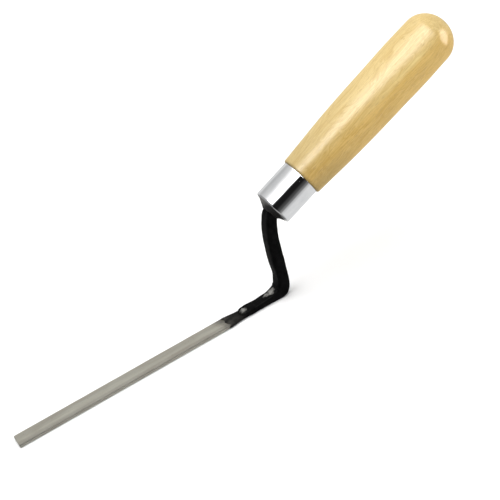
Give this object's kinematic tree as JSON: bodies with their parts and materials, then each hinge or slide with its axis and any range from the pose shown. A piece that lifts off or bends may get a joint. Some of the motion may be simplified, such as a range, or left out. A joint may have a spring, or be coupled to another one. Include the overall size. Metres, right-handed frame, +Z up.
{
  "type": "brick jointer",
  "caption": "Narrow flat pointing blade on a cranked black shank, with a chromed ferrule and a turned wooden handle with a domed end.",
  "frame": {"origin": "under the middle of the whole tool, on the plane of the blade's flat underside", "axes": "+X from the blade's tip towards the handle's butt, +Z up from the blade's underside, +Y across the blade"},
  "size_m": [0.2974, 0.0298, 0.1098],
  "materials": {
    "ground_steel": "ground lengthwise, dull, lightly oxidised",
    "black_enamel": "glossy dipped enamel over rough forged steel",
    "chrome_plate": "bright plating with fine polishing lines",
    "dark_resin": "cast, dull",
    "lacquered_wood": "clear glossy lacquer over pale straight-grained wood"
  },
  "bodies": {
    "root": {"blade": "ground_steel", "weld_bead": "black_enamel", "shank": "black_enamel", "ferrule": "chrome_plate", "tang_bedding": "dark_resin", "handle": "lacquered_wood"}
  },
  "joints": []
}
